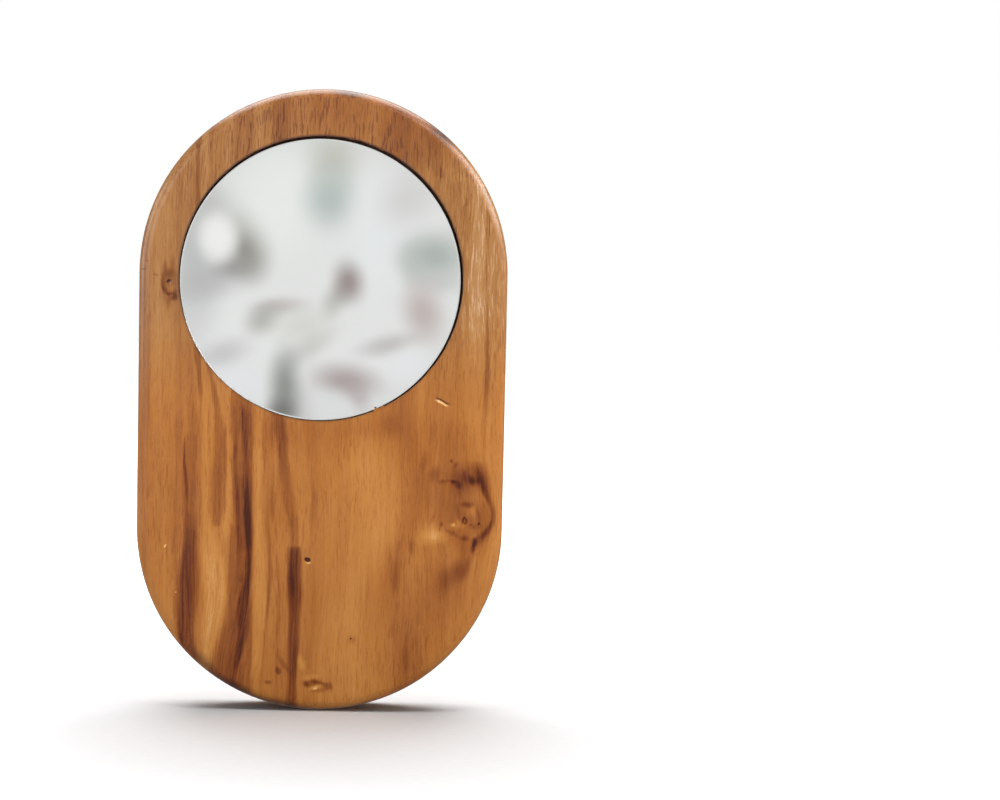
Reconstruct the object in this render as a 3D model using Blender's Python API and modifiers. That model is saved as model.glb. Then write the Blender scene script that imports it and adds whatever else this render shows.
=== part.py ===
"""Hand mirror: a round-ended hardwood board with a round glass mirror set into a recess.

Metres, +Z up. The board stands upright on its lower round end: X runs across the width,
Z along the length, and the mirror faces -Y. The origin is the middle of the board's
thickness, straight under its lowest point.
"""
import math

import bmesh
import bpy

# Board
BOARD_WIDTH = 0.130
BOARD_LENGTH = 0.220
BOARD_THICKNESS = 0.018
FRONT_ROUND = 0.004
BACK_ROUND = 0.003

# Mirror: a glass disc with a coat of silver and paint on its back
GLASS_DIAMETER = 0.0986
GLASS_THICKNESS = 0.003
GLASS_ARRIS = 0.0004
COAT_THICKNESS = 0.0003
COAT_INSET = 0.0006

# Seat of the mirror in the board
GLASS_SETBACK = 0.0006
RIM_CLEARANCE = 0.0007
TOUCH_GAP = 0.0003
RECESS_SIDE_SHIFT = -0.0009
RECESS_DROP = 0.0016
GLASS_SIDE_PLAY = -0.00022
GLASS_DROP_PLAY = 0.00030

# Dabs of mirror adhesive between the coat and the floor of the recess
DAB_RADIUS = 0.0080
DAB_HEIGHT = 0.0009
DAB_BULGE = 0.0008
DAB_EDGE_INSET = 0.0140

# Mesh fineness
OUTLINE_STEPS = 20
ROUND_SEGMENTS = 4
RECESS_SEGMENTS = 120
GLASS_STEPS = 120
DAB_STEPS = 32
BULGE_STEPS = 4

# Sizes that follow from those above
FRONT_Y = -BOARD_THICKNESS / 2
BACK_Y = BOARD_THICKNESS / 2
END_RADIUS = BOARD_WIDTH / 2
GLASS_RADIUS = GLASS_DIAMETER / 2
RECESS_RADIUS = GLASS_RADIUS + RIM_CLEARANCE
RECESS_X = RECESS_SIDE_SHIFT
RECESS_Z = BOARD_LENGTH - END_RADIUS - RECESS_DROP
GLASS_X = RECESS_X + GLASS_SIDE_PLAY
GLASS_Z = RECESS_Z - GLASS_DROP_PLAY
GLASS_FRONT_Y = FRONT_Y + GLASS_SETBACK
COAT_FRONT_Y = GLASS_FRONT_Y + GLASS_THICKNESS + TOUCH_GAP
DAB_FRONT_Y = COAT_FRONT_Y + COAT_THICKNESS + TOUCH_GAP
RECESS_FLOOR_Y = DAB_FRONT_Y + DAB_HEIGHT + TOUCH_GAP

# Handle length that makes a quarter circle from one Bezier segment
QUARTER_ARC_HANDLE = 4 / 3 * math.tan(math.pi / 8)
WELD_DISTANCE = 1e-6
SMOOTH_ANGLE = math.radians(30)


def clear_scene():
    """Remove every object, so that the script starts from an empty scene."""
    for obj in list(bpy.data.objects):
        bpy.data.objects.remove(obj, do_unlink=True)


def new_collection(name):
    """Add an empty collection to the scene."""
    collection = bpy.data.collections.new(name)
    bpy.context.scene.collection.children.link(collection)
    return collection


def new_material(name, color, roughness, metallic=0.0, transmission=0.0):
    """Make a Principled material of one plain colour."""
    material = bpy.data.materials.new(name)
    material.use_nodes = True
    shader = material.node_tree.nodes["Principled BSDF"]
    shader.inputs["Base Color"].default_value = (*color, 1.0)
    shader.inputs["Roughness"].default_value = roughness
    shader.inputs["Metallic"].default_value = metallic
    shader.inputs["Transmission Weight"].default_value = transmission
    return material


def add_object(name, data, collection, material=None):
    """Add an object to a collection, with its material."""
    obj = bpy.data.objects.new(name, data)
    collection.objects.link(obj)
    if material:
        data.materials.append(material)
    return obj


def board_outline():
    """The board's outline, two half circles joined by straight sides, as an extruded curve."""
    curve = bpy.data.curves.new("board_outline", "CURVE")
    curve.dimensions = "2D"
    curve.fill_mode = "BOTH"
    curve.extrude = BOARD_THICKNESS / 2
    curve.resolution_u = OUTLINE_STEPS
    low = END_RADIUS
    high = BOARD_LENGTH - END_RADIUS
    reach = END_RADIUS * QUARTER_ARC_HANDLE
    # Each point, then the vectors to its left and right handles
    knots = [
        ((END_RADIUS, low), (0, -reach), (0, 0)),
        ((END_RADIUS, high), (0, 0), (0, reach)),
        ((0, BOARD_LENGTH), (reach, 0), (-reach, 0)),
        ((-END_RADIUS, high), (0, reach), (0, 0)),
        ((-END_RADIUS, low), (0, 0), (0, -reach)),
        ((0, 0), (-reach, 0), (reach, 0)),
    ]
    spline = curve.splines.new("BEZIER")
    spline.bezier_points.add(len(knots) - 1)
    spline.use_cyclic_u = True
    for point, (place, left, right) in zip(spline.bezier_points, knots):
        point.handle_left_type = "VECTOR" if left == (0, 0) else "FREE"
        point.handle_right_type = "VECTOR" if right == (0, 0) else "FREE"
        point.co = (*place, 0)
        point.handle_left = (place[0] + left[0], place[1] + left[1], 0)
        point.handle_right = (place[0] + right[0], place[1] + right[1], 0)
    return curve


def round_rim(bm, y, radius):
    """Round over the edges that bound the board's face at y."""
    rim = [edge for edge in bm.edges
           if all(abs(vert.co.y - y) < WELD_DISTANCE for vert in edge.verts)]
    bmesh.ops.bevel(bm, geom=rim, offset=radius, segments=ROUND_SEGMENTS, profile=0.5,
                    affect="EDGES", clamp_overlap=True)


def board_mesh(collection):
    """The solid board before its recess is cut: the outline stood up, with rounded edges."""
    outline = add_object("board_outline", board_outline(), collection)
    outline.rotation_euler = (math.pi / 2, 0, 0)
    bpy.context.view_layer.update()
    evaluated = outline.evaluated_get(bpy.context.evaluated_depsgraph_get())
    mesh = bpy.data.meshes.new_from_object(evaluated)
    mesh.transform(outline.matrix_world)
    bpy.data.objects.remove(outline, do_unlink=True)
    bm = bmesh.new()
    bm.from_mesh(mesh)
    bmesh.ops.remove_doubles(bm, verts=bm.verts, dist=WELD_DISTANCE)
    bmesh.ops.dissolve_limit(bm, angle_limit=math.radians(1), verts=bm.verts, edges=bm.edges)
    round_rim(bm, FRONT_Y, FRONT_ROUND)
    round_rim(bm, BACK_Y, BACK_ROUND)
    bmesh.ops.recalc_face_normals(bm, faces=bm.faces)
    bm.to_mesh(mesh)
    bm.free()
    return mesh


def recess_cutter(collection):
    """A cylinder from well in front of the board to the floor of the recess."""
    overrun = RECESS_RADIUS
    depth = overrun + RECESS_FLOOR_Y - FRONT_Y
    bm = bmesh.new()
    bmesh.ops.create_cone(bm, cap_ends=True, segments=RECESS_SEGMENTS,
                          radius1=RECESS_RADIUS, radius2=RECESS_RADIUS, depth=depth)
    mesh = bpy.data.meshes.new("recess_cutter")
    bm.to_mesh(mesh)
    bm.free()
    cutter = add_object("recess_cutter", mesh, collection)
    cutter.rotation_euler = (math.pi / 2, 0, 0)
    cutter.location = (RECESS_X, RECESS_FLOOR_Y - depth / 2, RECESS_Z)
    cutter.hide_render = True
    cutter.display_type = "WIRE"
    return cutter


def add_wood_body(collection, cutters, material):
    """The one-piece board, with the round recess that holds the mirror."""
    mesh = board_mesh(collection)
    mesh.name = "wood_body"
    mesh.materials.clear()
    body = add_object("wood_body", mesh, collection, material)
    cut = body.modifiers.new("recess", "BOOLEAN")
    cut.operation = "DIFFERENCE"
    cut.solver = "EXACT"
    cut.object = recess_cutter(cutters)
    mesh.shade_smooth()
    mesh.set_sharp_from_angle(angle=SMOOTH_ANGLE)
    return body


def add_turned(name, profile, centre, steps, collection, material):
    """Turn a profile about the Y axis. It runs from the front face's middle, down the outer
    side, to the back face's middle, as pairs of radius and distance behind the front face."""
    mesh = bpy.data.meshes.new(name)
    verts = [(radius, 0, -back) for radius, back in profile]
    edges = [(index, index + 1) for index in range(len(verts) - 1)]
    mesh.from_pydata(verts, edges, [])
    obj = add_object(name, mesh, collection, material)
    obj.rotation_euler = (math.pi / 2, 0, 0)
    obj.location = centre
    screw = obj.modifiers.new("turn", "SCREW")
    screw.steps = steps
    screw.render_steps = steps
    screw.use_merge_vertices = True
    screw.merge_threshold = WELD_DISTANCE
    screw.use_smooth_shade = False
    return obj


def add_mirror_glass(collection, material):
    """The glass disc, with a small arris ground on both edges."""
    radius = GLASS_RADIUS
    profile = [
        (0, 0),
        (radius - GLASS_ARRIS, 0),
        (radius, GLASS_ARRIS),
        (radius, GLASS_THICKNESS - GLASS_ARRIS),
        (radius - GLASS_ARRIS, GLASS_THICKNESS),
        (0, GLASS_THICKNESS),
    ]
    centre = (GLASS_X, GLASS_FRONT_Y, GLASS_Z)
    return add_turned("mirror_glass", profile, centre, GLASS_STEPS, collection, material)


def add_silver_coat(collection, material):
    """The coat of silver and protective paint on the back of the glass."""
    radius = GLASS_RADIUS - COAT_INSET
    profile = [(0, 0), (radius, 0), (radius, COAT_THICKNESS), (0, COAT_THICKNESS)]
    centre = (GLASS_X, COAT_FRONT_Y, GLASS_Z)
    return add_turned("silver_coat", profile, centre, GLASS_STEPS, collection, material)


def dab_profile():
    """A squeezed dab of adhesive: flat faces, with a side that bulges between them."""
    profile = [(0, 0)]
    for step in range(BULGE_STEPS + 1):
        turn = math.pi * step / BULGE_STEPS
        radius = DAB_RADIUS + DAB_BULGE * math.sin(turn)
        back = DAB_HEIGHT / 2 * (1 - math.cos(turn))
        profile.append((radius, back))
    profile.append((0, DAB_HEIGHT))
    return profile


def add_adhesive_dabs(collection, material):
    """One dab behind the middle of the glass and four round it."""
    ring = GLASS_RADIUS - DAB_EDGE_INSET - DAB_RADIUS
    places = {
        "adhesive_dab_centre": (0, 0),
        "adhesive_dab_top": (0, ring),
        "adhesive_dab_right": (ring, 0),
        "adhesive_dab_bottom": (0, -ring),
        "adhesive_dab_left": (-ring, 0),
    }
    for name, (side, up) in places.items():
        centre = (GLASS_X + side, DAB_FRONT_Y, GLASS_Z + up)
        add_turned(name, dab_profile(), centre, DAB_STEPS, collection, material)


def main():
    clear_scene()
    parts = new_collection("hand_mirror")
    cutters = new_collection("hand_mirror_cutters")
    wood = new_material("varnished_hardwood", (0.42, 0.17, 0.045), 0.35)
    glass = new_material("mirror_glass", (0.93, 0.97, 0.95), 0.02, transmission=1.0)
    silver = new_material("mirror_silver", (0.90, 0.91, 0.91), 0.03, metallic=1.0)
    adhesive = new_material("mirror_adhesive", (0.72, 0.70, 0.65), 0.6)
    add_wood_body(parts, cutters, wood)
    add_mirror_glass(parts, glass)
    add_silver_coat(parts, silver)
    add_adhesive_dabs(parts, adhesive)


main()
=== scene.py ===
"""Looks of the hand mirror: a varnished hardwood board with a round mirror in a recess.

The board stands upright on its round lower end, the mirror faces -Y and +X is to the right of
someone who looks into it. Lengths named MM are in millimetres, and all others are in metres.
"""

import math

import bmesh
import bpy
import numpy as np
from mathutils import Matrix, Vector, noise


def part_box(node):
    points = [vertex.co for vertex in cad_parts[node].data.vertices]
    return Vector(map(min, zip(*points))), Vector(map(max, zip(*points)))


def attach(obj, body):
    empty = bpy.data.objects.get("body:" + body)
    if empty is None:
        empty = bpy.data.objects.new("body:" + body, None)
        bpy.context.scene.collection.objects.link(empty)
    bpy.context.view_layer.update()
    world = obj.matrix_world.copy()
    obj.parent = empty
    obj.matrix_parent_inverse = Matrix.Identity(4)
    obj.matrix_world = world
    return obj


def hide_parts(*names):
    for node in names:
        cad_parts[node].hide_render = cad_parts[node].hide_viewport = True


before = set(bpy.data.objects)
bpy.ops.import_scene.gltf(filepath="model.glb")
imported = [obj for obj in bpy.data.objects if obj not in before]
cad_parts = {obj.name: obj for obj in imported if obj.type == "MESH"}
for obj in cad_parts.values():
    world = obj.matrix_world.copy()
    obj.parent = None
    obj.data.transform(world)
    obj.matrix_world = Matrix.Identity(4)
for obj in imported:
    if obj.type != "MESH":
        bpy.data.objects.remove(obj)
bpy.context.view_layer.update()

MM = 0.001

# The board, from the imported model
BODY_LOW, BODY_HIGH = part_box("wood_body")
BOARD_WIDTH = BODY_HIGH[0] - BODY_LOW[0]
BOARD_LENGTH = BODY_HIGH[2] - BODY_LOW[2]
FRONT_Y = BODY_LOW[1]
BACK_Y = BODY_HIGH[1]
END_RADIUS = BOARD_WIDTH / 2
FRONT_ROUND = 4.0 * MM
BACK_ROUND = 3.0 * MM

# The mirror and its recess
GLASS_LOW, GLASS_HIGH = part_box("mirror_glass")
GLASS_X = (GLASS_LOW[0] + GLASS_HIGH[0]) / 2
GLASS_Z = (GLASS_LOW[2] + GLASS_HIGH[2]) / 2
GLASS_RADIUS = (GLASS_HIGH[0] - GLASS_LOW[0]) / 2
GLASS_ARRIS = 0.2 * MM
SILVER_RADIUS = GLASS_RADIUS - 0.06 * MM
COAT_GAP = 0.02 * MM
COAT_THICKNESS = 0.3 * MM
COAT_ARRIS = 0.05 * MM
RECESS_RADIUS = GLASS_RADIUS + 0.7 * MM
RECESS_X = GLASS_X + 0.22 * MM
RECESS_Z = GLASS_Z + 0.30 * MM
RECESS_FLOOR_Y = FRONT_Y + 5.7 * MM
RIM_BREAK = 0.25 * MM


# ---------------------------------------------------------------- meshes

def closed_loft(name, rings):
    """A closed mesh through rings of equally many points, fanned shut at both ends."""
    count = len(rings[0])
    points = np.concatenate([*rings, [rings[0].mean(axis=0)], [rings[-1].mean(axis=0)]])
    step = np.arange(count)
    following = (step + 1) % count
    faces = []
    for row in range(len(rings) - 1):
        low, high = row * count, (row + 1) * count
        quads = np.stack([low + step, low + following, high + following, high + step], axis=1)
        faces.extend(quads.tolist())
    first, last = len(points) - 2, len(points) - 1
    end = (len(rings) - 1) * count
    faces.extend(np.stack([np.full(count, first), following, step], axis=1).tolist())
    faces.extend(np.stack([np.full(count, last), end + step, end + following], axis=1).tolist())
    mesh = bpy.data.meshes.new(name)
    mesh.from_pydata(points.tolist(), [], faces)
    return mesh


def ring_of(x, y, z):
    """Rows of points from coordinates that may be single numbers."""
    x, y, z = np.broadcast_arrays(x, y, z)
    return np.stack([x, y, z], axis=1)


def outline(count, inset):
    """Points round the board's outline moved in by inset, even along the outermost edge."""
    arc = math.pi * END_RADIUS
    side = BOARD_LENGTH - 2 * END_RADIUS
    along = np.arange(count) / count * 2 * (arc + side)
    radius = END_RADIUS - inset
    top, low = BOARD_LENGTH - END_RADIUS, END_RADIUS
    turn = np.clip(along / END_RADIUS, 0, math.pi)
    turn = turn + np.clip((along - arc - side) / END_RADIUS, 0, math.pi)
    down = np.clip(along - arc, 0, side)
    up = np.clip(along - 2 * arc - side, 0, side)
    x = radius * np.cos(turn)
    middle = np.where(along < arc + side, top - down, low + up)
    return x, middle + radius * np.sin(turn)


def rounding(radius, steps):
    """Inset and depth along a quarter-round edge, from the face to the side."""
    turns = [math.pi / 2 * step / steps for step in range(steps + 1)]
    return [(radius * (1 - math.sin(turn)), radius * (1 - math.cos(turn))) for turn in turns]


# Edge of the recess: each nibble is its angle round the recess from +X, its half width along
# the edge, and how far it reaches in over the gap (out into the wood where negative)
RIM_NIBBLES_MM = [
    (-66, 0.9, 0.95),
    (-63.5, 0.8, 0.55),
    (-39, 1.4, 0.25),
    (75, 1, -0.3),
    (78.5, 0.7, 0.35),
    (82, 0.8, -0.2),
    (66, 0.9, 0.25),
    (71, 0.6, 0.2),
    (118, 1.2, -0.15),
    (23, 0.8, 0.2),
    (9, 0.7, -0.15),
]
RIM_WOBBLE = 0.11 * MM
CLOSE_SIDE_DEG = 215.0
CLOSE_SIDE_REACH = 0.22 * MM


def rim_radius(angles):
    """The recess edge's radius: it wobbles as if cut by hand, and hugs the glass low on the left."""
    around = np.array([noise.noise(Vector((9 * math.cos(a), 9 * math.sin(a), 0))) for a in angles])
    fine = np.array([noise.noise(Vector((60 * math.cos(a), 60 * math.sin(a), 3))) for a in angles])
    radius = RECESS_RADIUS + RIM_WOBBLE * (around + 0.6 * fine)
    close = np.maximum(0, np.cos(angles - math.radians(CLOSE_SIDE_DEG)))
    radius = radius - CLOSE_SIDE_REACH * close ** 2
    for angle, half_width, reach in RIM_NIBBLES_MM:
        turn = (angles - math.radians(angle) + math.pi) % (2 * math.pi) - math.pi
        off = turn * RECESS_RADIUS / (half_width * MM)
        radius = radius - reach * MM * np.exp(-off ** 2)
    return radius


def board_rings(count=640, face_rows=56, back_rows=22):
    """Rings of the board, from the recess floor out over the front and round to the back."""
    edge_x, edge_z = outline(count, FRONT_ROUND)
    angles = np.arctan2(edge_z - RECESS_Z, edge_x - RECESS_X)
    rim = rim_radius(angles)
    cos, sin = np.cos(angles), np.sin(angles)

    def circle(radius, y):
        return ring_of(RECESS_X + radius * cos, y, RECESS_Z + radius * sin)

    rings = [circle(RECESS_RADIUS * share, RECESS_FLOOR_Y) for share in (0.3, 0.7, 0.98)]
    rings.append(circle(RECESS_RADIUS, RECESS_FLOOR_Y - 0.3 * MM))
    blend = 1.2 * MM
    for depth in (3.6 * MM, 2.4 * MM, blend, 0.8 * MM, 0.5 * MM):
        share = max(0.0, 1 - depth / (2 * blend))
        rings.append(circle(RECESS_RADIUS + (rim - RECESS_RADIUS) * share, FRONT_Y + depth))
    for inset, depth in reversed(rounding(RIM_BREAK, 3)):
        rings.append(circle(rim + RIM_BREAK - inset, FRONT_Y + depth))
    inner = rings[-1]
    outer = ring_of(edge_x, FRONT_Y, edge_z)
    for row in range(1, face_rows):
        share = (row / face_rows) ** 1.15
        rings.append(inner + (outer - inner) * share)
    for inset, depth in rounding(FRONT_ROUND, 9):
        x, z = outline(count, inset)
        rings.append(ring_of(x, FRONT_Y + depth, z))
    x, z = outline(count, 0)
    for share in (0.33, 0.67):
        y = FRONT_Y + FRONT_ROUND + share * (BACK_Y - BACK_ROUND - FRONT_Y - FRONT_ROUND)
        rings.append(ring_of(x, y, z))
    for inset, depth in reversed(rounding(BACK_ROUND, 8)):
        x, z = outline(count, inset)
        rings.append(ring_of(x, BACK_Y - depth, z))
    centre = np.array([0, BACK_Y, BOARD_LENGTH / 2])
    last = rings[-1]
    for row in range(1, back_rows):
        rings.append(centre + (last - centre) * (1 - row / back_rows))
    return rings


# The figure, and the pits that belong to it, lean a little in the board
FIGURE_LEAN_DEG = 0.31
FIGURE_SHIFT_MM = (-0.83, -0.85)

# Hollows in the front face, in the figure's frame: x, z, half width, half height, turn in
# degrees, depth, and how steep the side is (1 a soft dish, 4 a sharp pit)
HOLLOWS_MM = [
    (-4.6, 53.4, 1.15, 0.85, -20, 1.3, 4),
    (42.3, 109.9, 2.6, 0.5, -25, 0.45, 2),
    (40.8, 110.9, 0.9, 0.4, -35, 0.35, 2),
    (50.9, 67.9, 1.1, 1.6, 0, 0.12, 2),
    (51, 69, 9.0, 8.5, 0, 0.22, 1),
    (54.5, 60, 1.6, 3.2, 10, 0.18, 1),
    (56.5, 78.5, 1.6, 5.0, -30, 0.12, 1),
    (45.8, 65.9, 1.2, 0.9, 20, 0.14, 2),
    (-54.2, 151.4, 0.95, 0.55, 22, 0.25, 2),
    (-53, 150, 4.5, 5.5, 0, 0.12, 1),
    (-1.2, 7.4, 2.2, 1.2, 0, 0.22, 2),
    (-14.5, 13.5, 1.1, 1.6, 15, 0.15, 2),
    (-55, 57.8, 0.35, 0.6, -35, 0.15, 2),
    (11, 25.3, 0.4, 0.4, 0, 0.25, 2),
]
SANDING_DEPTH = 0.10 * MM
SANDING_PITCH = 26.0 * MM
SANDING_RIPPLE = 9.0 * MM


def figure_point(x, z):
    """A point of the board in the frame of its figure, in millimetres."""
    lean = math.radians(FIGURE_LEAN_DEG)
    across = x * math.cos(lean) + z * math.sin(lean)
    up = z * math.cos(lean) - x * math.sin(lean)
    return across / MM + FIGURE_SHIFT_MM[0], up / MM + FIGURE_SHIFT_MM[1]


def hollow_depth(x, z):
    """How deep the front face is worn or pitted at a point, in metres."""
    x, z = figure_point(x, z)
    depth = 0.0
    for cx, cz, wide, high, turn, deep, steep in HOLLOWS_MM:
        dx, dz = x - cx, z - cz
        if abs(dx) > 3 * max(wide, high) or abs(dz) > 3 * max(wide, high):
            continue
        angle = math.radians(turn)
        along = (dx * math.cos(angle) + dz * math.sin(angle)) / wide
        across = (dz * math.cos(angle) - dx * math.sin(angle)) / high
        depth += deep * MM * math.exp(-(along * along + across * across) ** steep)
    return depth


def sand_surface(bm):
    """Press the hollows in, and let the hand-sanded faces undulate slightly, always inwards."""
    bm.normal_update()
    moves = []
    for vert in bm.verts:
        wave = noise.noise(vert.co / SANDING_PITCH) + 0.35 * noise.noise(vert.co / SANDING_RIPPLE)
        off = math.hypot(vert.co.x - RECESS_X, vert.co.z - RECESS_Z)
        in_recess = off < RECESS_RADIUS + 0.6 * MM and vert.co.y < 0
        inward = 0.0 if in_recess else SANDING_DEPTH * (0.5 + 0.5 * max(-1.0, min(1.0, wave)))
        if vert.co.y < FRONT_Y + 0.5 * MM and not in_recess:
            inward += hollow_depth(vert.co.x, vert.co.z)
        moves.append((vert, vert.normal * -inward))
    for vert, move in moves:
        vert.co += move


def add_object(name, data):
    """Put a mesh, lamp or camera in the scene."""
    made = bpy.data.objects.new(name, data)
    bpy.context.scene.collection.objects.link(made)
    return made


def add_piece(name, mesh, materials, slot, *replaced):
    """Put a mesh in the scene as a piece of the mirror that stands for CAD nodes."""
    piece = add_object(name, mesh)
    for material in materials:
        mesh.materials.append(material)
    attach(piece, "root")
    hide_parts(*replaced)
    return piece


def make_board(wood, recess_wood_and_shade):
    """The one-piece board with its recess, rounded edges, pits and worn knots."""
    mesh = closed_loft("board", board_rings())
    bm = bmesh.new()
    bm.from_mesh(mesh)
    bmesh.ops.recalc_face_normals(bm, faces=bm.faces)
    sand_surface(bm)
    for face in bm.faces:
        face.smooth = True
        place = face.calc_center_median()
        off = math.hypot(place.x - RECESS_X, place.z - RECESS_Z)
        inside = off < RECESS_RADIUS + 0.1 * MM and FRONT_Y + RIM_BREAK < place.y < 0
        face.material_index = 1 if inside else 0
    bm.to_mesh(mesh)
    bm.free()
    mesh.set_sharp_from_angle(angle=math.radians(50))
    return add_piece("wood_board", mesh, [wood, recess_wood_and_shade], "varnished_hardwood", "wood_body")


def disc_mesh(name, radius, front, back, arris, steps=4, count=256):
    """A disc with its faces at front and back, and rounded arrises."""
    turn = np.arange(count) / count * 2 * math.pi

    def circle(reach, y):
        return ring_of(GLASS_X + reach * np.cos(turn), y, GLASS_Z + reach * np.sin(turn))

    edge = rounding(arris, steps)
    rings = [circle(radius * share, front) for share in (0.25, 0.6, 0.9)]
    rings += [circle(radius - inset, front + depth) for inset, depth in edge]
    rings += [circle(radius - inset, back - depth) for inset, depth in reversed(edge)]
    rings += [circle(radius * share, back) for share in (0.9, 0.6, 0.25)]
    mesh = closed_loft(name, rings)
    bm = bmesh.new()
    bm.from_mesh(mesh)
    bmesh.ops.recalc_face_normals(bm, faces=bm.faces)
    for face in bm.faces:
        face.smooth = abs(face.normal.y) < 0.999
    bm.to_mesh(mesh)
    bm.free()
    return mesh


# ---------------------------------------------------------------- node helpers

class Graph:
    """Short names for building a material's nodes. Inputs are sockets or plain values."""

    def __init__(self, tree):
        self.tree = tree

    def node(self, kind, inputs=None, **settings):
        made = self.tree.nodes.new(kind)
        for name, value in settings.items():
            setattr(made, name, value)
        for key, value in (inputs or {}).items():
            self.feed(made.inputs[key], value)
        return made

    def coords(self):
        """Where a point is on its own object, in metres."""
        return self.node("ShaderNodeTexCoord").outputs["Object"]

    def feed(self, socket, value):
        if isinstance(value, bpy.types.NodeSocket):
            self.tree.links.new(value, socket)
        else:
            socket.default_value = value

    def math(self, operation, *values, clamp=False):
        made = self.node("ShaderNodeMath", dict(enumerate(values)), operation=operation)
        made.use_clamp = clamp
        return made.outputs[0]

    def add(self, a, b):
        return self.math("ADD", a, b)

    def times(self, a, b):
        return self.math("MULTIPLY", a, b)

    def total(self, parts):
        """The sum of many sockets."""
        whole = parts[0]
        for part in parts[1:]:
            whole = self.add(whole, part)
        return whole

    def ease(self, value, low, high, start=0.0, end=1.0):
        """A smooth step from start to end as value goes from low to high."""
        inputs = {"Value": value, "From Min": low, "From Max": high, "To Min": start,
                  "To Max": end}
        made = self.node("ShaderNodeMapRange", inputs, interpolation_type="SMOOTHSTEP")
        return made.outputs["Result"]

    def bump(self, shader, strength, distance, height):
        """Give a shader relief: distance is the depth in metres where strength is 1."""
        inputs = {"Strength": strength, "Distance": distance, "Height": height}
        self.feed(shader.inputs["Normal"], self.node("ShaderNodeBump", inputs).outputs[0])

    def vector(self, x, y, z):
        return self.node("ShaderNodeCombineXYZ", {0: x, 1: y, 2: z}).outputs[0]

    def noise(self, place, scale, detail=2.0, roughness=0.5, distortion=0.0):
        inputs = {"Vector": place, "Scale": scale, "Detail": detail, "Roughness": roughness,
                  "Distortion": distortion}
        return self.node("ShaderNodeTexNoise", inputs).outputs[0]

    def centred(self, place, scale, detail=2.0, roughness=0.5):
        """Noise about zero, mostly between -1 and 1."""
        raw = self.noise(place, scale, detail, roughness)
        return self.math("MULTIPLY_ADD", raw, 4.0, -2.0)

    def ramp(self, factor, stops):
        """A colour ramp from (position, linear colour) stops."""
        made = self.node("ShaderNodeValToRGB", {0: factor})
        band = made.color_ramp.elements
        while len(band) < len(stops):
            band.new(0.5)
        for element, (position, colour) in zip(band, stops):
            element.position = position
            element.color = (*colour, 1.0)
        return made.outputs["Color"]

    def blend(self, factor, a, b, mode="MIX"):
        """Colour a, turned into b or multiplied by it as far as the factor says."""
        made = self.node("ShaderNodeMix", data_type="RGBA", blend_type=mode)
        self.feed(made.inputs[0], factor)
        self.feed(made.inputs[6], a)
        self.feed(made.inputs[7], b)
        return made.outputs[2]


def new_material(name):
    """A Principled material with its graph and shader."""
    material = bpy.data.materials.new(name)
    material.use_nodes = True
    shader = material.node_tree.nodes["Principled BSDF"]
    return material, Graph(material.node_tree), shader


# ---------------------------------------------------------------- wood figure

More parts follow.
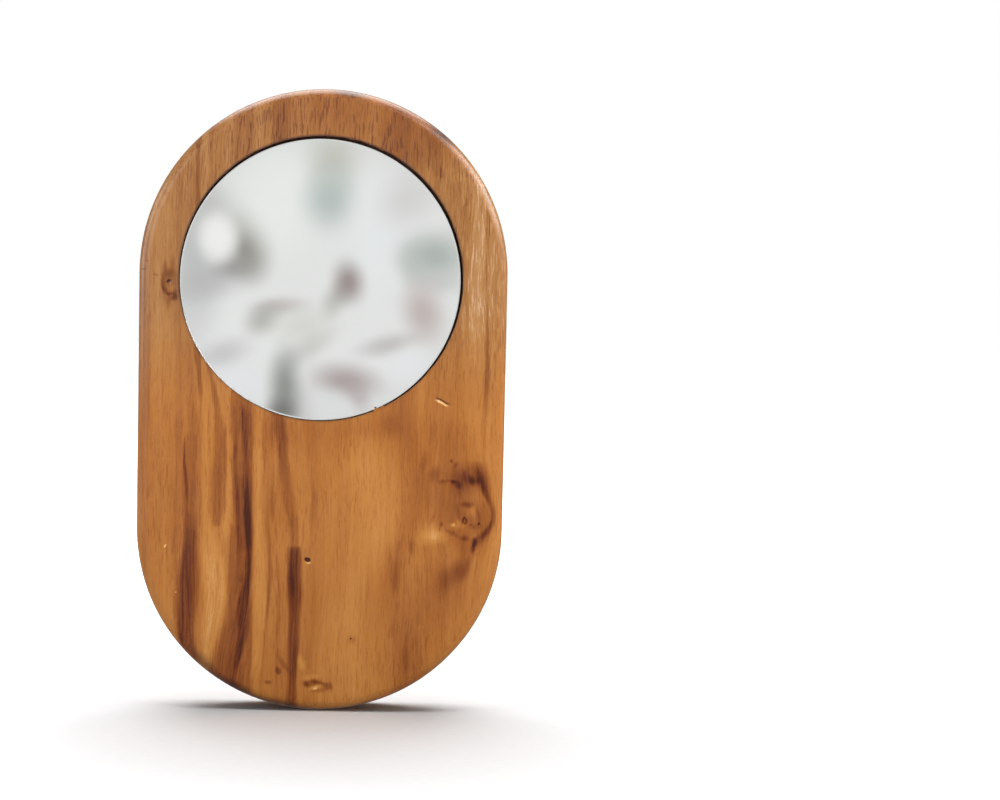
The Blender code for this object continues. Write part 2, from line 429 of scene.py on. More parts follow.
# Streaks on the front face: how much lighter (+) or darker (-) each makes the wood, how
# sharp its sides are (0 sharp, 1 soft), then its course as (z, x, half width, strength)
FRONT_STREAKS_MM = [
    # bottom left: chocolate streak that widens downwards
    (-0.5, 0.45, [(99, -45.5, 1.6, 0), (90, -46.5, 2.4, 0.25), (76, -46.6, 2.4, 0.35),
        (62, -45.8, 2.2, 0.75), (50, -46.5, 3, 0.95), (38, -47.3, 3.3, 1), (27, -47.2, 2.8, 0.95),
        (18, -45.5, 2.2, 0.8)]),
    (-0.3, 0.5, [(97, -48.2, 0.3, 0), (90, -48, 0.4, 0.9), (80, -47.6, 0.45, 1),
        (72, -47.2, 0.3, 0.3), (66, -46.8, 0.3, 0)]),
    # golden band beside it
    (0.16, 0.5, [(70, -41, 1.2, 0.2), (60, -39, 2.6, 0.6), (48, -37.3, 3.6, 1), (38, -37, 3.8, 1),
        (28, -37.8, 3.2, 1), (18, -39.5, 1.8, 0.9), (12, -40.5, 1, 0.4)]),
    # brown band right of the golden one, leaning left at the bottom
    (-0.33, 0.5, [(66, -30.5, 1.6, 0.2), (56, -29.6, 2.6, 0.7), (46, -29.4, 3, 0.8),
        (36, -30, 3.4, 0.85), (26, -31.4, 4.2, 0.9), (17, -33.4, 4.4, 1), (8, -34, 4.4, 1)]),
    # its dark core
    (-0.24, 0.8, [(70, -26, 1.4, 0.55), (58, -25.4, 1.2, 1), (48, -25.4, 1.1, 1),
        (38, -26.6, 1.8, 0.9), (29, -27.6, 1.9, 0.8), (22, -28.8, 1.6, 0.9), (14, -30.5, 2, 0.6)]),
    # rises from there to the mirror's lower left: a brown band with a dark core
    (-0.2, 0.7, [(122, -29, 1.6, 0.3), (112, -28.6, 2.4, 0.6), (100, -28, 3.4, 0.9),
        (88, -27.6, 3.6, 1), (76, -27.2, 3.4, 1), (66, -26.6, 2.8, 0.9), (56, -26.2, 1.8, 0.4)]),
    (-0.31, 0.9, [(108, -27.6, 0.6, 0.2), (98, -27.3, 0.9, 0.9), (88, -26.9, 1.1, 0.8),
        (78, -26.4, 1, 1), (68, -25.8, 1.3, 1.1), (58, -25.4, 0.9, 0.6)]),
    (-0.18, 0.7, [(100, -30.4, 0.5, 0.2), (92, -30.2, 0.6, 0.9), (82, -29.8, 0.5, 0.8),
        (72, -29.4, 0.6, 1), (62, -29, 0.6, 0.7), (52, -28.6, 0.5, 0.2)]),
    (0.1, 0.7, [(104, -24.2, 0.8, 0.3), (94, -23.6, 1.2, 0.9), (82, -23, 1.3, 0.9),
        (70, -22.6, 1.2, 0.7), (60, -22.2, 0.8, 0.2)]),
    (-0.1, 0.9, [(104, -20.4, 0.9, 0.4), (92, -20, 1, 0.9), (78, -19.4, 0.8, 0.6),
        (66, -19, 0.8, 0.8), (58, -18.6, 0.6, 0.3)]),
    (-0.14, 0.8, [(106, -50.4, 1, 0.3), (96, -50.6, 1.2, 0.7), (84, -50.8, 1, 0.4),
        (72, -51, 1, 0.7), (58, -51.2, 1.2, 0.5), (44, -52, 1, 0.2)]),
    (-0.12, 0.8, [(110, -46.4, 1.4, 0.4), (100, -44.8, 1.6, 0.9), (88, -43.6, 1.5, 0.8),
        (76, -43, 1.2, 0.7), (64, -42.8, 1.2, 0.5)]),
    (-0.16, 0.5, [(84, -28.9, 1.6, 0), (76, -28.4, 2.2, 0.9), (66, -28.2, 1.9, 0.9),
        (55, -28.2, 1.4, 0.4)]),
    # smudge with a rounded lower tip
    (-0.24, 0.6, [(122, -39.6, 0.8, 0.5), (112, -37.6, 0.9, 0.8), (104, -36.4, 1.2, 0.7),
        (94, -35.6, 2.2, 0.75), (84, -36, 2.7, 0.95), (76, -36, 2.6, 0.9), (69, -36.6, 2, 0.8),
        (64.5, -36.8, 1.2, 0)]),
    (-0.22, 0.5, [(127, -44, 0.9, 0.9), (118, -43, 0.8, 0.9), (110, -42.4, 0.7, 0.3),
        (102, -42.2, 0.6, 0.1), (94, -41, 0.6, 0)]),
    # light lines between the smudge and the next streak
    (0.16, 0.5, [(98, -32.6, 0.8, 0.3), (88, -32.2, 1, 0.9), (78, -32, 1, 0.9),
        (68, -32.8, 1.4, 0.7), (60, -33, 1, 0.2)]),
    (0.14, 0.7, [(72, -22, 1.2, 0.3), (58, -21.8, 1.8, 1), (46, -21.6, 1.8, 1),
        (34, -21.6, 2.2, 0.9), (20, -23.5, 2.6, 0.8), (10, -24.5, 2.2, 0.5)]),
    # thin brown lines
    (-0.2, 0.6, [(64, -18.2, 0.5, 0.4), (54, -17.8, 0.7, 0.9), (44, -17.9, 0.7, 1),
        (30, -19.4, 0.6, 0.7), (18, -20.5, 0.5, 0.5), (8, -20.8, 0.5, 0.3)]),
    (-0.16, 0.6, [(56, -15.6, 0.5, 0.2), (46, -14.9, 0.5, 0.8), (34, -14.9, 0.5, 0.8),
        (22, -15.3, 0.5, 0.5), (10, -15.5, 0.5, 0.3)]),
    (-0.2, 0.6, [(108, -17, 0.8, 0.5), (98, -17.2, 0.7, 0.8), (88, -17, 0.5, 0.3),
        (78, -16.8, 0.7, 0.8), (73, -16.8, 0.8, 0.9), (66, -16.8, 0.5, 0.2)]),
    # streak that ends in the sharp dark stripe
    (-0.36, 0.7, [(106, -14.6, 1.6, 0.4), (98, -13.9, 1.8, 0.9), (90, -13.5, 1.5, 0.9),
        (82, -12.6, 1.9, 0.6), (74, -11.6, 1.8, 0.5), (66, -10.2, 1.6, 0.5), (58, -9.4, 1.5, 0.4)]),
    (-0.44, 0.35, [(58.2, -9.4, 2.2, 0), (55.5, -9.3, 2.4, 0.9), (47, -9.3, 2.4, 1),
        (38, -9.2, 2.3, 0.85), (30, -9.2, 2.1, 0.6), (22, -9.2, 2.1, 0.65), (15, -9.6, 2.1, 0.6),
        (3, -10, 2.1, 0.5)]),
    (-0.14, 0.7, [(82, -3.4, 0.5, 0.2), (74, -3.4, 0.7, 0.8), (64, -3.6, 0.6, 0.4),
        (56, -3.6, 0.5, 0)]),
    # dark arm that runs round the big knot
    (-0.44, 0.9, [(89, 54.4, 1.8, 0), (85, 55.6, 1.9, 0.7), (81, 57, 1.6, 0.95), (77, 58.5, 1.1, 1),
        (74, 59.7, 0.7, 0.8), (70, 60.7, 0.5, 0.6), (67, 60.2, 0.8, 0.9), (63.6, 58, 1.3, 0.9),
        (61, 55.6, 1.5, 0.7), (57, 53.6, 1, 0.4), (50, 51.5, 1, 0.25), (46, 49.5, 1, 0)]),
    (0.09, 0.9, [(92, 60, 1.6, 0.3), (80, 60.8, 1.6, 0.8), (70, 62.6, 1.2, 0.8), (58, 60.5, 1.8, 1),
        (46, 58, 1.6, 0.3)]),
    # broad light and dark bands of the right half
    (0.12, 1, [(98, 14, 4, 0.2), (84, 17.5, 6, 1), (66, 20.5, 6, 0.9), (48, 14, 5, 0.7),
        (30, 8, 6, 0.9), (10, 10, 8, 0.7)]),
    (-0.12, 1, [(104, 27, 4, 1), (92, 31.5, 4, 0.7), (80, 33.5, 4.5, 0.9), (66, 30, 3.5, 0.8),
        (52, 26.6, 3.2, 1), (38, 25.8, 3, 0.6), (24, 31, 4, 0.7), (10, 31, 4, 0.5)]),
    (-0.12, 1, [(104, 43, 5, 0.5), (92, 45, 6, 0.9), (80, 42, 6, 0.9), (58, 44, 8, 0.5),
        (46, 43, 8, 1), (30, 37, 8, 0.7), (14, 32, 7, 0.6)]),
    (-0.24, 0.7, [(128, 57.6, 0.5, 0.6), (120, 57.9, 0.8, 0.9), (110, 57.4, 0.7, 0.7),
        (103, 57.2, 0.5, 0)]),
    (0.14, 0.9, [(170, 55, 2.5, 0.7), (150, 54.5, 3.5, 1), (132, 53, 3, 0.8), (112, 53, 3, 0.3)]),
    (0.1, 0.9, [(150, -58, 3, 0.3), (120, -55, 4, 0.9), (100, -54, 4, 0.9), (70, -53.5, 3.5, 0.6),
        (50, -54, 3, 0.3)]),
    (-0.14, 0.8, [(150, -62.5, 1.2, 0.5), (130, -61.5, 1.2, 0.7), (104, -62, 1.4, 0.7),
        (84, -62.4, 1.2, 0.5)]),
]

# Spots on the front face: tone, softness, x, z, half width, half height, turn in degrees
FRONT_SPOTS_MM = [
    # big knot on the right: shade, rings, pip and golden blotches
    (-0.1, 1, 52, 76, 9, 9, 0),
    (-0.17, 1, 52.6, 83.2, 5.2, 3.8, 10),
    (-0.12, 1, 48.6, 81, 2.6, 4, 0),
    (-0.1, 0.9, 57, 66, 4, 7, 0),
    (-0.07, 1, 50.5, 68.5, 6, 6.5, 0),
    (-0.14, 1, 50, 52, 2, 5, -20),
    (-0.1, 1, 47, 47.5, 3.5, 3, 0),
    (-0.09, 1, 0, 99, 30, 7, 0),
    (-0.1, 1, -52, 82, 9, 30, 0),
    (-0.1, 0.9, 51.5, 82.5, 5.5, 3.4, -20),
    (-0.29, 0.8, 53, 82.4, 1, 1.5, 20),
    (-0.14, 0.9, 54.6, 81.6, 1.6, 1.1, 20),
    (-0.13, 0.9, 50.6, 83.6, 0.5, 2.2, 12),
    (-0.1, 0.9, 52, 85.6, 0.4, 2.4, 8),
    (-0.17, 0.8, 42.6, 81.6, 1.2, 0.7, 0),
    (-0.13, 0.8, 45, 81.9, 2, 0.5, 0),
    (-0.23, 0.8, 46.7, 81.6, 0.8, 0.7, 0),
    (-0.22, 0.8, 48.5, 80.6, 1, 1.3, 30),
    (-0.14, 0.9, 49, 77.8, 0.5, 1.8, 0),
    (-0.17, 0.9, 40.2, 84.2, 1.5, 2.4, -18),
    (-0.1, 0.9, 36.4, 89, 1.3, 2.6, -18),
    (-0.32, 0.6, 45.8, 88.9, 0.4, 0.6, 20),
    (-0.19, 0.7, 47.5, 87.7, 0.6, 0.9, -20),
    (-0.25, 0.8, 51.4, 73.6, 2, 0.9, 0),
    (-0.13, 0.9, 48.2, 71.6, 0.6, 2.2, 12),
    (-0.19, 0.8, 55.5, 70.8, 0.5, 1.6, 12),
    (-0.12, 0.9, 56, 68.4, 0.5, 1.6, 0),
    (-0.35, 0.5, 55.9, 66.9, 0.4, 0.5, 0),
    (-0.19, 0.6, 53.1, 66.5, 0.5, 0.35, 0),
    (-0.13, 0.9, 54.6, 65.9, 1.7, 0.9, 0),
    (0.12, 0.9, 53.4, 71, 1.6, 1.6, 0),
    (0.14, 0.9, 48.6, 66.2, 2.6, 1.2, 0),
    (0.29, 0.6, 46.8, 66.3, 0.7, 0.55, -40),
    (0.14, 0.8, 48.6, 67.6, 0.4, 0.9, 25),
    (-0.26, 0.7, 42.6, 66.5, 0.6, 0.8, -20),
    (-0.14, 0.7, 42, 64.8, 0.4, 0.8, 0),
    (0.15, 1, 39.8, 63.8, 3.8, 2.4, -20),
    (0.1, 1, 40.5, 62, 3, 2, 0),
    (0.08, 1, 37, 61.4, 3.6, 2, 10),
    (-0.1, 0.9, 39.6, 68.6, 0.5, 2.6, -24),
    (-0.17, 0.8, 46.6, 63.4, 2.4, 0.7, -26),
    (-0.22, 0.8, 51, 61.6, 1.3, 0.9, -10),
    (-0.38, 0.7, 54.4, 60.3, 1, 1.4, 0),
    (-0.35, 0.7, 54, 58.2, 0.7, 1.5, -6),
    (-0.14, 0.9, 50.5, 59.6, 2, 3, 0),
    (-0.41, 0.35, 50.85, 67.9, 0.9, 1.35, 0),
    (0.34, 0.4, 50.85, 67.7, 0.42, 0.72, 0),
    # smudges of the lower right
    (-0.12, 0.9, 49.5, 50.5, 2.6, 3, -40),
    (-0.12, 0.9, 43.5, 46, 2.6, 4.6, -10),
    (-0.12, 0.8, 32.4, 58.5, 0.8, 2.6, 0),
    (-0.14, 0.8, 26.6, 47, 1.4, 5, 0),
    (-0.14, 0.8, 30.6, 17.5, 1, 5, 0),
    (-0.5, 0.4, 11, 25.3, 0.35, 0.35, 0),
    (-0.1, 0.9, 11.2, 25, 1.2, 1.2, 0),
    (-0.1, 0.9, 24, 101, 4, 3, -20),
    # worm hole, painted dark as the shade inside it, and the pale lip under it
    (-0.8, 0.2, -4.6, 53.4, 1.05, 0.8, -20),
    (0.34, 0.4, -4.3, 52.3, 0.95, 0.3, -16),
    # nick: pale gouge with a dark upper edge
    (0.42, 0.3, 42.2, 109.5, 2.3, 0.42, -25),
    (-0.46, 0.3, 42.6, 110.2, 2.5, 0.22, -25),
    # knot at the bottom with its filler, and the spots beside it
    (-0.2, 0.7, -2.6, 9.4, 3, 1.3, 8),
    (-0.26, 0.6, -4.4, 9, 1, 1, 10),
    (-0.24, 0.6, -0.6, 9.6, 2.4, 0.6, -10),
    (-0.26, 0.6, 3, 8.4, 1.8, 1.1, -14),
    (-0.16, 0.8, 0.8, 6.8, 3.2, 0.8, 8),
    (0.22, 0.5, -1.6, 7.6, 1.5, 0.7, 20),
    (0.26, 0.4, -1.3, 7.2, 0.6, 0.4, 20),
    (0.12, 0.8, -3, 11.4, 2.6, 1, 10),
    (-0.34, 0.5, -14.6, 13.6, 0.9, 1.4, 15),
    (-0.16, 0.7, -12.8, 16.2, 0.9, 3.4, 35),
    (-0.26, 0.6, -18.2, 9.4, 1.2, 0.6, 0),
    (0.16, 0.8, -6.4, 16.5, 1.2, 2.6, 20),
    # small knot left of the mirror: an eye in a swirl
    (-0.16, 1, -54, 150, 3.4, 4.6, 0),
    (-0.2, 0.9, -54.3, 154, 1.9, 1.3, 10),
    (-0.12, 0.9, -52.9, 157.4, 0.6, 2.6, 0),
    (-0.12, 0.9, -55.6, 156.4, 0.6, 2, 6),
    (-0.22, 0.8, -56.4, 150.8, 0.7, 2.2, 0),
    (-0.26, 0.8, -55.5, 148, 0.7, 1.7, 35),
    (-0.24, 0.8, -53.6, 146.9, 1.4, 0.5, 0),
    (-0.2, 0.8, -51.9, 147.4, 0.6, 1.3, 0),
    (-0.34, 0.8, -52.3, 145.5, 1.3, 0.9, 20),
    (-0.14, 0.9, -54.4, 144, 0.5, 2.2, 0),
    (0.12, 0.9, -53.2, 149, 1.3, 1.2, 0),
    (-0.5, 0.5, -54.2, 151.4, 0.95, 0.5, 22),
    (0.07, 0.8, -57.8, 152, 1.2, 5, 0),
    (-0.2, 0.7, -58.8, 153.5, 0.9, 0.3, 0),
    (-0.2, 0.7, -63.2, 155.5, 0.8, 0.3, 0),
    (-0.16, 0.8, -62, 158.3, 0.6, 0.3, 0),
    # brown smudge at the upper right
    (-0.12, 1, 37.7, 199.6, 5, 6.5, 0),
    # pale specks
    (0.55, 0.3, -55, 57.8, 0.28, 0.55, -35),
    (0.4, 0.3, -51, 41.4, 0.22, 0.25, 0),
    # short cracks
    (-0.36, 0.5, 36.7, 198, 0.16, 3, 0),
    (-0.34, 0.5, 36.3, 193.4, 0.16, 2.4, 0),
    (-0.26, 0.6, 32.4, 196.5, 0.22, 4, 0),
    (-0.22, 0.6, 40.6, 190, 0.18, 3.2, 0),
    (-0.3, 0.5, 55.2, 179, 0.2, 3, 0),
    (-0.26, 0.5, 58, 172, 0.2, 3.4, 0),
    (-0.24, 0.5, 10.6, 204, 0.2, 2.2, 0),
]

# Scorched places on the rounded edge: x, z, half width, half height, turn, strength
SCORCHES_MM = [
    (-29, 6.6, 9, 1.9, -28, 1),
    (-14, 1.8, 9, 1.2, -10, 0.8),
    (-41, 16, 6, 2, -48, 0.7),
    (9, 217.6, 5.5, 1.4, -6, 0.9),
    (41, 203.6, 5, 1.6, -42, 1),
]

# Streaks on the back face, in the same form, with x in the board's own frame
BACK_STREAKS_MM = [
    (-0.16, 0.7, [(210, 34, 1.6, 0.8), (180, 24.8, 1.6, 0.9), (150, 15.6, 1.5, 1),
        (105, 6.6, 1.4, 1), (60, -1.4, 1.4, 0.9), (8, -11, 1.4, 0.9)]),
    (0.07, 0.8, [(205, 36.5, 2, 0.8), (150, 20, 2.4, 1), (105, 11.2, 2.4, 0.9), (60, 3, 2.2, 0.8),
        (10, -6.5, 2, 0.7)]),
    (-0.12, 0.9, [(212, -4, 2.8, 0.8), (170, -13, 3.2, 0.9), (130, -21, 3.4, 0.9),
        (100, -27, 3, 0.8), (60, -33, 3.2, 0.9), (25, -39, 3, 0.7)]),
    (0.2, 0.6, [(212, -28, 3.2, 0.9), (190, -32.5, 3.4, 1), (170, -35.6, 3.2, 0.9),
        (140, -41.2, 2.8, 1), (105, -48.6, 3.2, 1), (65, -57.6, 3.4, 1)]),
    (-0.22, 0.5, [(206, -35.2, 2, 0.9), (170, -41, 2, 0.9), (140, -46.2, 2, 1),
        (105, -53.6, 1.8, 0.9), (65, -62.4, 1.6, 0.9)]),
    (-0.08, 1, [(196, -46, 5, 0.8), (150, -54, 6, 0.8), (110, -60, 5, 0.8)]),
    (0.1, 0.9, [(140, 51, 4, 0.5), (112, 46, 5, 1), (80, 41, 5, 0.8), (40, 33, 4.5, 1),
        (15, 28, 4, 0.8)]),
    (0.12, 0.9, [(84, 60, 3, 0.3), (62, 58, 4, 1), (40, 52, 5, 0.8), (25, 46, 4, 0.6)]),
    (-0.14, 0.6, [(84, 54.5, 1, 0.5), (70, 50.5, 1, 1), (50, 44.5, 1, 1), (30, 38.5, 1, 0.7),
        (14, 34, 1, 0.4)]),
    (-0.08, 0.7, [(200, 52, 1.2, 0.6), (150, 41, 1.4, 0.8), (100, 30.5, 1.6, 0.8),
        (50, 18, 1.6, 0.8), (12, 9, 1.4, 0.6)]),
]

# Spots on the back face, in the same form as the front's
BACK_SPOTS_MM = [
    (-0.16, 0.7, 56.5, 87, 2.6, 1.8, 0),
    (0.16, 0.5, 56.4, 87, 1.3, 0.8, 10),
    (-0.2, 0.6, 54.6, 81, 1.2, 2.8, 25),
    (-0.12, 0.7, 57.6, 83.6, 0.8, 2, 0),
    (-0.08, 0.9, 27, 71, 2, 3, 0),
]

# The wood's colours from dark to pale, and its tone where nothing is drawn
WOOD_TONES = [
    (0.00, (0.050, 0.010, 0.003)),
    (0.15, (0.118, 0.025, 0.004)),
    (0.30, (0.180, 0.047, 0.007)),
    (0.45, (0.242, 0.074, 0.011)),
    (0.55, (0.296, 0.098, 0.016)),
    (0.65, (0.362, 0.136, 0.024)),
    (0.78, (0.430, 0.180, 0.038)),
    (1.00, (0.620, 0.360, 0.140)),
]
PLAIN_TONE = 0.63
# Paler, bluer tint of the upper front: painted sheen of the varnish
PAINTED_SHEEN_TINT = (0.80, 0.95, 1.60, 1)
HEARTWOOD_TINT = (0.88, 0.74, 0.62, 1)
HEARTWOOD_MM = (14, 212, 32, 16, -10)
# The scorches' colour, also used for the painted shade along the recess lip
SCORCH_AND_SHADE_COLOUR = (0.045, 0.02, 0.014, 1)

# The big knot, which the grain bends round, and how far its push reaches
KNOT_X_MM, KNOT_Z_MM = 51.0, 69.0
KNOT_REACH_MM = 20.0


def add_streaks(g, tone, x, z, streaks):
    """Add a list of streaks to the tone: each one's course is read from curves along z."""
    reach, widest = 70.0, 10.0
    height = BOARD_LENGTH / MM
    share_up = g.times(z, 1 / height)
    along = g.node("ShaderNodeCombineColor", {0: share_up, 1: share_up, 2: share_up}).outputs[0]
    for amount, softness, course in streaks:
        made = g.node("ShaderNodeRGBCurve", {"Color": along})
        curves = made.mapping.curves
        course = sorted(course)
        for channel, value in enumerate((1, 2, 3)):
            points = curves[channel].points
            while len(points) < len(course):
                points.new(0.5, 0.5)
            for point, knot in zip(points, course):
                scaled = ((knot[1] + reach) / (2 * reach), knot[2] / widest, knot[3])
                point.location = (knot[0] / height, scaled[value - 1])
        made.mapping.extend = "HORIZONTAL"
        made.mapping.update()
        split = g.node("ShaderNodeSeparateColor", {0: made.outputs["Color"]})
        middle = g.math("MULTIPLY_ADD", split.outputs[0], 2 * reach, -reach)
        off = g.math("ABSOLUTE", g.math("SUBTRACT", x, middle))
        half = g.math("MAXIMUM", g.times(split.outputs[1], widest), 0.05)
        share = g.ease(g.math("DIVIDE", off, half), 1 - softness, 1 + softness, 1.0, 0.0)
        tone = g.math("MULTIPLY_ADD", g.times(share, split.outputs[2]), amount, tone)
    return tone


def spot_share(g, place, softness, x, z, wide, high, turn):
    """1 inside an ellipse on the face, and 0 well outside it."""
    endless = 1e6
    outer = 1 + softness
    inputs = {"Vector": place, "Location": (x, 0, z), "Rotation": (0, math.radians(-turn), 0),
              "Scale": (wide * outer, endless, high * outer)}
    local = g.node("ShaderNodeMapping", inputs, vector_type="TEXTURE").outputs[0]
    inwards = g.node("ShaderNodeTexGradient", {0: local}, gradient_type="SPHERICAL").outputs[1]
    return g.ease(inwards, 0.0, 2 * softness / outer)


def add_spots(g, tone, place, spots):
    """Add a list of spots to the tone."""
    for amount, softness, *shape in spots:
        tone = g.math("MULTIPLY_ADD", spot_share(g, place, softness, *shape), amount, tone)
    return tone


def make_wood():
    """Varnished hardwood: streaks, knots and pores along Z, under a satin varnish."""
    material, g, shader = new_material("varnished_hardwood_grain")
    coords = g.coords()
    place = g.node("ShaderNodeVectorMath", {0: coords, 1: (1 / MM, 1 / MM, 1 / MM)},
                   operation="MULTIPLY").outputs[0]
    turned = g.node("ShaderNodeMapping",
                    {"Vector": place, "Rotation": (0, math.radians(FIGURE_LEAN_DEG), 0),
                     "Location": (FIGURE_SHIFT_MM[0], 0, FIGURE_SHIFT_MM[1])}).outputs[0]
    split = g.node("ShaderNodeSeparateXYZ", {0: turned})
    x, y, z = split.outputs

    # Grain wanders slowly, feathers finely along the fibres, and leans with the streaks
    slow = g.centred(g.vector(g.times(x, 0.05), g.times(y, 0.05), g.times(z, 0.018)), 1.0)
    feather = g.centred(g.vector(g.times(x, 0.9), g.times(y, 0.9), g.times(z, 0.06)), 1.0, 3.0)
    wander = g.add(g.times(slow, 0.8), g.times(feather, 0.55))
    streak_x = g.add(x, wander)
    front = g.ease(g.math("MULTIPLY_ADD", feather, 1.5, y), -2.0, 4.0, 1.0, 0.0)
    back = g.math("SUBTRACT", 1.0, front)
    low_lean = g.times(g.ease(z, 5.0, 48.0, 7.0, 0.0),
                       g.ease(g.math("ABSOLUTE", g.add(x, 31.0)), 0.0, 16.0, 1.0, 0.0))
    knot_x = g.math("SUBTRACT", x, KNOT_X_MM)
    knot_z = g.times(g.math("SUBTRACT", z, KNOT_Z_MM), 0.6)
    knot_off = g.node("ShaderNodeVectorMath", {0: g.vector(knot_x, 0.0, knot_z)},
                      operation="LENGTH").outputs["Value"]
    knot_push = g.times(knot_x, g.ease(knot_off, 0.0, KNOT_REACH_MM, -0.55, 0.0))
    back_lean = g.times(g.math("SUBTRACT", z, BOARD_LENGTH / MM / 2), -0.2)
    lean = g.add(g.times(front, g.add(low_lean, knot_push)), g.times(back, back_lean))
    grain_x = g.add(g.add(x, lean), g.times(slow, 1.4))

    # Figure: broad bands, then the streaks and spots of each face
    broad = g.centred(g.vector(g.times(grain_x, 0.11), g.times(y, 0.11), g.times(z, 0.007)), 1.0)
    band = g.centred(g.vector(g.times(grain_x, 0.42), g.times(y, 0.42), g.times(z, 0.014)), 1.0)
    cloud = g.centred(g.vector(g.times(x, 0.05), g.times(y, 0.05), g.times(z, 0.035)), 1.0)
    spot_place = g.vector(g.add(x, g.times(feather, 0.22)), y, g.add(z, g.times(feather, 0.3)))
    threads = g.noise(g.vector(g.times(grain_x, 0.9), g.times(y, 0.9), g.times(z, 0.03)), 1.0, 4.0,
                      0.7)
    threaded = g.ease(threads, 0.28, 0.72, 0.60, 1.20)
    front_tone = g.times(add_streaks(g, 0.0, streak_x, z, FRONT_STREAKS_MM), threaded)
    front_tone = add_spots(g, front_tone, spot_place, FRONT_SPOTS_MM)
    back_tone = add_streaks(g, 0.0, streak_x, z, BACK_STREAKS_MM)
    back_tone = add_spots(g, back_tone, spot_place, BACK_SPOTS_MM)
    figure = g.add(g.times(front_tone, front), g.times(back_tone, back))

    # Fibres and pores, and a painted highlight on some pores
    fibre_place = g.vector(g.times(grain_x, 1.0), g.times(y, 1.0), g.times(z, 0.045))
    fibre = g.centred(fibre_place, 1.6, 4.0, 0.65)
    hair = g.centred(g.vector(g.times(grain_x, 3.2), g.times(y, 3.2), g.times(z, 0.16)), 1.0, 2.0)
    pore_place = g.vector(g.times(grain_x, 2.4), g.times(y, 2.4), g.times(z, 0.21))
    pore_noise = g.noise(pore_place, 1.0, 1.0)
    patchy = g.noise(g.vector(g.times(x, 0.06), g.times(y, 0.06), g.times(z, 0.03)), 1.0, 2.0)
    pore = g.times(g.ease(pore_noise, 0.53, 0.66), g.ease(patchy, 0.35, 0.65, 0.45, 1.0))
    # Painted highlights: pale strokes on the right ring where glossy pores would catch the light
    painted_glint_place = g.vector(g.times(grain_x, 2.3), g.add(g.times(y, 2.3), 40.0), g.times(z, 0.17))
    painted_glint = g.times(g.ease(g.noise(painted_glint_place, 1.0, 2.0), 0.53, 0.64),
                    g.times(g.ease(x, 36.0, 52.0), g.ease(z, 112.0, 140.0)))
    speck = g.centred(g.vector(g.times(x, 2.4), g.times(y, 2.4), g.times(z, 1.5)), 1.0, 2.0)
    top = g.ease(z, 150.0, 200.0)
    pore = g.times(pore, g.math("MAXIMUM", g.math("MAXIMUM", top, back), 0.40))

    parts = [
        g.add(figure, PLAIN_TONE),
        g.times(broad, 0.035),
        g.times(band, 0.030),
        g.times(cloud, 0.040),
        g.times(fibre, g.ease(z, 120.0, 190.0, 0.034, 0.048)),
        g.times(hair, g.ease(z, 120.0, 190.0, 0.018, 0.060)),
        g.times(pore, -0.26),
        g.times(painted_glint, 0.17),
        g.times(speck, 0.024),
    ]
    tone = g.total(parts)
    colour = g.ramp(tone, WOOD_TONES)

    # Upper half tinted paler and bluer as a painted sheen of the varnish, redder heartwood across
    # the top, and scorched places on the edge
    upper = g.times(g.ease(z, 100.0, 150.0), front)
    colour = g.blend(upper, colour, PAINTED_SHEEN_TINT, "MULTIPLY")
    red = g.times(spot_share(g, spot_place, 0.8, *HEARTWOOD_MM), front)
    colour = g.blend(red, colour, HEARTWOOD_TINT, "MULTIPLY")
    scorch_and_shade = 0.0
    for *shape, strength in SCORCHES_MM:
        scorch_and_shade = g.math("MULTIPLY_ADD", spot_share(g, spot_place, 0.8, *shape), strength, scorch_and_shade)
    scorch_and_shade = g.times(scorch_and_shade, g.math("MULTIPLY_ADD", feather, 0.25, 0.75))

    # The lip of the recess is darkened, most at the top: painted shade that stands for the shadowed
    # gap round the glass
    from_recess = g.node("ShaderNodeVectorMath", {0: coords, 1: (RECESS_X, FRONT_Y, RECESS_Z)},
                         operation="DISTANCE").outputs["Value"]
    lip = g.ease(from_recess, RECESS_RADIUS + 0.1 * MM, RECESS_RADIUS + 0.9 * MM, 0.75, 0.0)
    scorch_and_shade = g.add(scorch_and_shade, g.times(lip, g.ease(z, 130.0, 195.0, 0.25, 1.0)))
    colour = g.blend(g.math("MULTIPLY", scorch_and_shade, front, clamp=True), colour, SCORCH_AND_SHADE_COLOUR)
    g.feed(shader.inputs["Base Color"], colour)

    # Varnish: satin, duller in the pores, finely uneven, and shinier on the rounded edge
    uneven = g.noise(g.vector(g.times(x, 0.25), g.times(y, 0.25), g.times(z, 0.06)), 1.0, 3.0)
    rough = g.add(g.ease(uneven, 0.3, 0.7, 0.28, 0.42), g.times(pore, 0.12))
    g.feed(shader.inputs["Roughness"], rough)
    shader.inputs["Specular IOR Level"].default_value = 0.25
    face_y = FRONT_Y / MM
    g.feed(shader.inputs["Coat Weight"], g.ease(y, face_y + 0.05, face_y + 1.0, 0.12, 0.60))
    shader.inputs["Coat Roughness"].default_value = 0.22
    relief = g.total([g.times(pore, -1.0), g.times(fibre, 0.16), g.times(hair, 0.10)])
    g.bump(shader, 0.55, 0.08 * MM, relief)
    return material


def make_recess_wood_and_shade():
    """The routed wall and floor of the recess: unvarnished end grain, dark partly as painted shade
    of the narrow gap round the glass.
    """
    material, g, shader = new_material("bare_recess_wood_and_shade")
    coords = g.coords()
    grain = g.node("ShaderNodeMapping", {"Vector": coords, "Scale": (900, 900, 90)}).outputs[0]
    tone = g.noise(grain, 1.0, 4.0, 0.6)
    # The very dark tones are partly painted shade of the narrow gap
    stops = [(0.25, (0.030, 0.014, 0.009)), (0.55, (0.085, 0.036, 0.019)),
             (0.80, (0.190, 0.085, 0.040))]
    g.feed(shader.inputs["Base Color"], g.ramp(tone, stops))
    shader.inputs["Roughness"].default_value = 0.85
    shader.inputs["Specular IOR Level"].default_value = 0.2
    g.bump(shader, 0.8, 0.2 * MM, tone)
    return material


